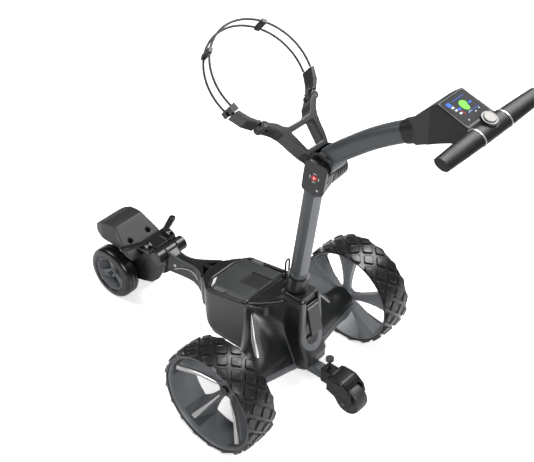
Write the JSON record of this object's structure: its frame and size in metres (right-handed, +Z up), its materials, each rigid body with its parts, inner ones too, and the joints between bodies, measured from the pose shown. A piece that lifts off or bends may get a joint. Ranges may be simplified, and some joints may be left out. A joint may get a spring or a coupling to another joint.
{
  "type": "electric golf trolley",
  "caption": "Three-wheel powered golf trolley with fold-down mast and handle, bag base and looped bag ring, wide drive wheels, battery bay and rear anti-tip roller.",
  "frame": {"origin": "on the ground under the middle of the overall length and width, with the trolley standing unfolded", "axes": "+X forward from the handle to the front wheels, +Y to the trolley's left, +Z up"},
  "size_m": [1.185, 0.618, 1.0241],
  "materials": {
    "body_black": "satin",
    "slate_trim": "satin",
    "slate_metal": "satin powder coat",
    "rim_grey": "satin",
    "tyre": "matt",
    "roller_rubber": "matt",
    "silver_insert": "satin",
    "satin_band": "brushed",
    "steel": "turned",
    "drive_unit": "cast",
    "board": "solder mask",
    "battery_grey": "textured",
    "cord": "satin",
    "grip": "satin",
    "glass_screen": "polished",
    "dial_black": "gloss",
    "button_pale": "matt",
    "button_red": "satin"
  },
  "bodies": {
    "chassis": {"upper_shell": "body_black", "lower_tray": "slate_trim", "rear_trim": "slate_trim", "neck_beam": "body_black", "trim_inserts": "silver_insert", "drive_motors": "drive_unit", "gearboxes": "drive_unit", "axle_bearings": "steel", "control_board": "board", "fold_pins": "steel", "case_screws": "steel", "stabiliser_tube": "slate_metal"},
    "front_leg": {"base_leg": "body_black", "base_shell": "body_black", "lever_brackets": "body_black", "front_pins": "steel"},
    "lever_left": {"strap_lever_left": "body_black"},
    "lever_right": {"strap_lever_right": "body_black"},
    "front_wheel_left": {"front_tyre_left": "tyre", "front_rim_left": "rim_grey"},
    "front_wheel_right": {"front_tyre_right": "tyre", "front_rim_right": "rim_grey"},
    "shaft_left": {"drive_axle_left": "steel"},
    "shaft_right": {"drive_axle_right": "steel"},
    "drive_wheel_left": {"drive_tyre_left": "tyre", "drive_rim_left": "rim_grey", "spoke_blades_left": "silver_insert"},
    "drive_wheel_right": {"drive_tyre_right": "tyre", "drive_rim_right": "rim_grey", "spoke_blades_right": "silver_insert"},
    "hub_button_left": {"hub_button_left": "body_black"},
    "hub_button_right": {"hub_button_right": "body_black"},
    "stabiliser": {"stabiliser_fork": "body_black", "stabiliser_axle": "steel"},
    "stabiliser_roller": {"stabiliser_roller": "roller_rubber"},
    "locking_screw": {"locking_screw": "body_black"},
    "fold_latch": {"fold_latch": "body_black"},
    "battery": {"battery_pack": "battery_grey"},
    "battery_plug": {"battery_plug": "body_black"},
    "mast": {"mast_foot": "body_black", "mast_tube": "slate_metal", "mast_head": "body_black", "bag_yoke": "body_black", "head_pins": "steel"},
    "yoke_tip_left": {"yoke_tip_left": "body_black"},
    "yoke_tip_right": {"yoke_tip_right": "body_black", "cord_loops": "cord", "cord_joiners": "body_black", "cord_latch": "body_black"},
    "remote": {"remote_case": "body_black"},
    "remote_pad": {"remote_pad": "button_pale"},
    "remote_stop": {"remote_stop": "button_red"},
    "handle": {"handle_tube": "slate_metal", "display_housing": "body_black", "display_screen": "glass_screen", "grip_bands": "satin_band", "hand_grips": "grip"},
    "speed_dial": {"speed_dial": "dial_black"},
    "dial_cap": {"dial_cap": "satin_band"},
    "lock_knob": {"lock_knob": "body_black"}
  },
  "joints": [
    {"name": "mast_fold", "type": "hinge", "parent": "chassis", "child": "mast", "pos_m": [-0.0755, 0, 0.318], "axis": [0, 1, 0], "range_deg": [0, 95]},
    {"name": "front_fold", "type": "hinge", "parent": "chassis", "child": "front_leg", "pos_m": [0.3495, 0, 0.204], "axis": [0, 1, 0], "range_deg": [0, 90]},
    {"name": "handle_fold", "type": "hinge", "parent": "mast", "child": "handle", "pos_m": [-0.1875, 0, 0.744], "axis": [0, -1, 0], "range_deg": [0, 105]},
    {"name": "lock_knob_turn", "type": "hinge", "parent": "mast", "child": "lock_knob", "pos_m": [-0.1435, -0.05, 0.676], "axis": [0, 1, 0], "range_deg": [0, 90]},
    {"name": "wheel_spin_left", "type": "hinge", "parent": "chassis", "child": "shaft_left", "pos_m": [-0.0815, 0.214, 0.145], "axis": [0, 1, 0], "continuous": true},
    {"name": "wheel_spin_right", "type": "hinge", "parent": "chassis", "child": "shaft_right", "pos_m": [-0.0815, -0.214, 0.145], "axis": [0, 1, 0], "continuous": true},
    {"name": "wheel_release_left", "type": "slide", "parent": "shaft_left", "child": "drive_wheel_left", "axis": [0, 1, 0], "range_m": [0, 0.04]},
    {"name": "wheel_release_right", "type": "slide", "parent": "shaft_right", "child": "drive_wheel_right", "axis": [0, -1, 0], "range_m": [0, 0.04]},
    {"name": "hub_button_left_press", "type": "slide", "parent": "drive_wheel_left", "child": "hub_button_left", "axis": [0, -1, 0], "range_m": [0, 0.002]},
    {"name": "hub_button_right_press", "type": "slide", "parent": "drive_wheel_right", "child": "hub_button_right", "axis": [0, 1, 0], "range_m": [0, 0.002]},
    {"name": "front_wheel_spin_left", "type": "hinge", "parent": "front_leg", "child": "front_wheel_left", "pos_m": [0.5165, 0.053, 0.076], "axis": [0, 1, 0], "continuous": true},
    {"name": "front_wheel_spin_right", "type": "hinge", "parent": "front_leg", "child": "front_wheel_right", "pos_m": [0.5165, -0.053, 0.076], "axis": [0, 1, 0], "continuous": true},
    {"name": "strap_lever_left_flip", "type": "hinge", "parent": "front_leg", "child": "lever_left", "pos_m": [0.3885, 0.04, 0.221], "axis": [0, -1, 0], "range_deg": [0, 70]},
    {"name": "strap_lever_right_flip", "type": "hinge", "parent": "front_leg", "child": "lever_right", "pos_m": [0.3885, -0.04, 0.221], "axis": [0, -1, 0], "range_deg": [0, 70]},
    {"name": "stabiliser_extend", "type": "slide", "parent": "chassis", "child": "stabiliser", "axis": [-1, 0, 0], "range_m": [0, 0.035]},
    {"name": "stabiliser_roll", "type": "hinge", "parent": "stabiliser", "child": "stabiliser_roller", "pos_m": [-0.2815, 0, 0.07], "axis": [0, 1, 0], "continuous": true},
    {"name": "locking_screw_pull", "type": "slide", "parent": "stabiliser", "child": "locking_screw", "axis": [0, 0, 1], "range_m": [0, 0.008]},
    {"name": "fold_latch_release", "type": "hinge", "parent": "chassis", "child": "fold_latch", "pos_m": [-0.146, 0, 0.301], "axis": [0, 1, 0], "range_deg": [0, 35]},
    {"name": "battery_lift", "type": "slide", "parent": "chassis", "child": "battery", "axis": [-0.1616, 0, -0.9869], "range_m": [-0.12, 0]},
    {"name": "battery_plug_pull", "type": "slide", "parent": "chassis", "child": "battery_plug", "axis": [0, 0, 1], "range_m": [0, 0.012]},
    {"name": "yoke_tip_left_swing", "type": "hinge", "parent": "mast", "child": "yoke_tip_left", "pos_m": [-0.05895, 0.084, 0.81198], "axis": [-0.6355, 0, 0.7721], "range_deg": [0, 20]},
    {"name": "bag_loop_open", "type": "hinge", "parent": "mast", "child": "yoke_tip_right", "pos_m": [-0.05895, -0.084, 0.81198], "axis": [0.6355, 0, -0.7721], "range_deg": [0, 25]},
    {"name": "remote_lift_off", "type": "slide", "parent": "mast", "child": "remote", "axis": [-0.1736, 0.9848, 0], "range_m": [0, 0.02]},
    {"name": "remote_pad_press", "type": "slide", "parent": "remote", "child": "remote_pad", "axis": [0.1736, -0.9848, 0], "range_m": [0, 0.0007]},
    {"name": "remote_stop_press", "type": "slide", "parent": "remote", "child": "remote_stop", "axis": [0.1736, -0.9848, 0], "range_m": [0, 0.0007]},
    {"name": "speed_dial_turn", "type": "hinge", "parent": "handle", "child": "speed_dial", "pos_m": [-0.5645, 0, 1.008], "axis": [-0.2974, 0, 0.9548], "continuous": true},
    {"name": "dial_cap_press", "type": "slide", "parent": "speed_dial", "child": "dial_cap", "axis": [0.2974, 0, -0.9548], "range_m": [0, 0.0015]}
  ],
  "couplings": [
    {"joint": "front_fold", "follows": "mast_fold", "ratio": 0.947}
  ]
}
